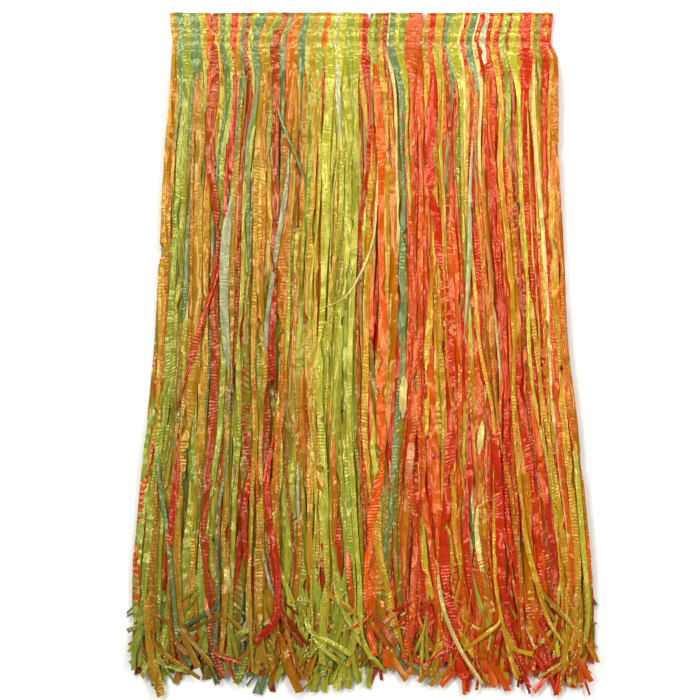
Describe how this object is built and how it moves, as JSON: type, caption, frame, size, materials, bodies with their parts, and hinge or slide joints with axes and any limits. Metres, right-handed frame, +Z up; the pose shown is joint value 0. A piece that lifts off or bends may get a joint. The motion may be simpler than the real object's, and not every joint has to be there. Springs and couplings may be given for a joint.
{
  "type": "grass skirt",
  "caption": "Hula skirt of dyed plastic raffia strands, folded over a flat waist elastic, stitched, and laid out flat with its front up.",
  "frame": {"origin": "on the floor, in the middle of the laid-out skirt's outline", "axes": "+X to the right as the front is seen, +Y towards the waist, +Z up out of the front"},
  "size_m": [0.5722, 0.8306, 0.0213],
  "materials": {
    "elastic": "white woven elastic",
    "raffia_green": "crinkled glossy film, lime, olive and grey-green",
    "raffia_orange": "crinkled glossy film, orange, red and gold"
  },
  "bodies": {
    "root": {"waist_elastic": "elastic", "front_hank_1": "raffia_green", "front_hank_2": "raffia_green", "front_hank_3": "raffia_orange", "front_hank_4": "raffia_orange", "front_hank_5": "raffia_orange", "back_hank_1": "raffia_green", "back_hank_2": "raffia_green", "back_hank_3": "raffia_orange", "back_hank_4": "raffia_orange", "back_hank_5": "raffia_orange"}
  },
  "joints": []
}
